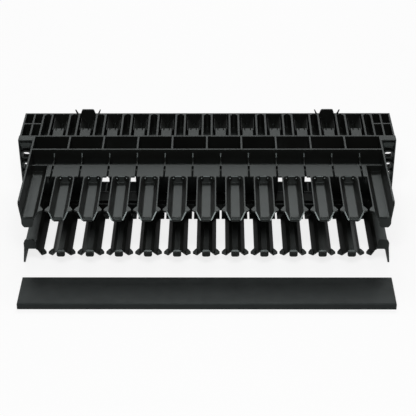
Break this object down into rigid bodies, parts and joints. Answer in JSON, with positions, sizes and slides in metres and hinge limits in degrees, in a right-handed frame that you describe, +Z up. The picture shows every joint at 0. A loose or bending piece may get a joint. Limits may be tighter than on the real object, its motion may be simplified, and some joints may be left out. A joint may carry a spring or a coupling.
{
  "type": "horizontal cable manager",
  "caption": "Rack cable duct with upper and lower rows of trough-shaped fingers, slotted ears, ribbed rear deck and a flat clip-on cover set down in front.",
  "frame": {"origin": "centre of the rack-hole pattern on the front face of the two ears", "axes": "+X along the rack's width, +Y from the fingers to the back, +Z up"},
  "size_m": [0.4826, 0.3051, 0.0944],
  "materials": {
    "base_plastic": "satin moulded black",
    "cover_plastic": "satin moulded black"
  },
  "bodies": {
    "root": {"base": "base_plastic", "cover": "cover_plastic"}
  },
  "joints": []
}
